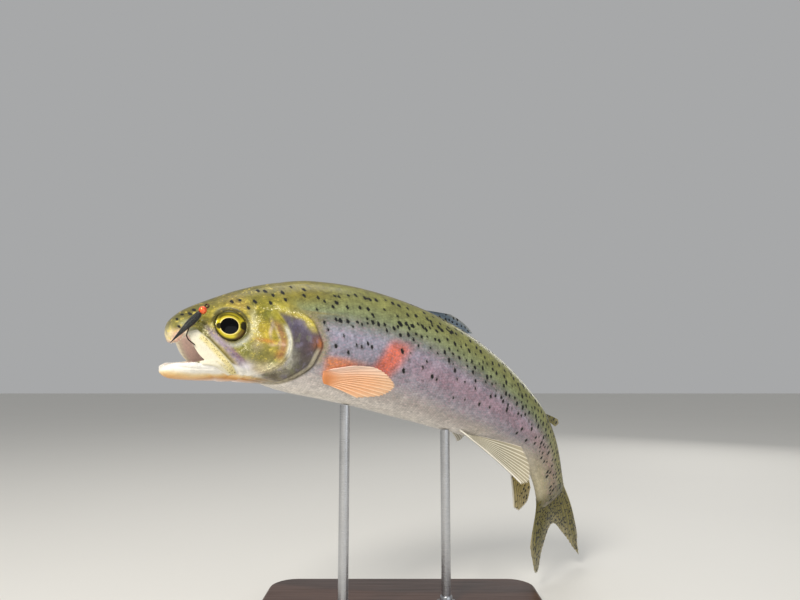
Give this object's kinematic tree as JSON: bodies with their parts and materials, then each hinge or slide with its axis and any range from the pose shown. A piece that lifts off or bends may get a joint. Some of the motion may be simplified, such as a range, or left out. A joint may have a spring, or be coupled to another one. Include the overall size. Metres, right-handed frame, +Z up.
{
  "type": "rainbow trout",
  "caption": "Life-size still display model of a rainbow trout, mouth open with a fly in its lip and tail hanging down, on a flat stand with upright rods.",
  "frame": {"origin": "middle of the bounding box's underside, on the stand base's underside", "axes": "+X from the snout towards the tail, the way the head's camera sees it; +Z up; the fish's left side faces -Y and its tail bends away towards +Y and down"},
  "size_m": [0.2218, 0.1915, 0.1741],
  "materials": {
    "skin": "wet scaled skin: olive back, lilac-silver side with an orange-red band, pale belly, black spots",
    "fin": "thin rayed fins, olive and spotted above, pale orange below",
    "eye": "clear dome over a golden iris and a black pupil",
    "bead": "shiny orange-red bead",
    "thread": "black wound thread",
    "hook": "dark blued wire",
    "base": "dark satin wood",
    "rod": "brushed steel"
  },
  "bodies": {
    "root": {"head": "skin", "lower_jaw": "skin", "lip_bone_left": "skin", "lip_bone_right": "skin", "gill_cover_left": "skin", "gill_cover_right": "skin", "trunk_front": "skin", "trunk_rear": "skin", "tail_stalk": "skin", "dorsal_fin": "fin", "adipose_fin": "fin", "caudal_fin": "fin", "anal_fin": "fin", "pectoral_fin_left": "fin", "pectoral_fin_right": "fin", "pelvic_fin_left": "fin", "pelvic_fin_right": "fin", "eye_left": "eye", "eye_right": "eye", "fly_bead": "bead", "fly_body": "thread", "fly_hook": "hook", "fly_hook_eye": "hook", "stand_base": "base", "stand_rod_front": "rod", "stand_rod_rear": "rod"}
  },
  "joints": []
}
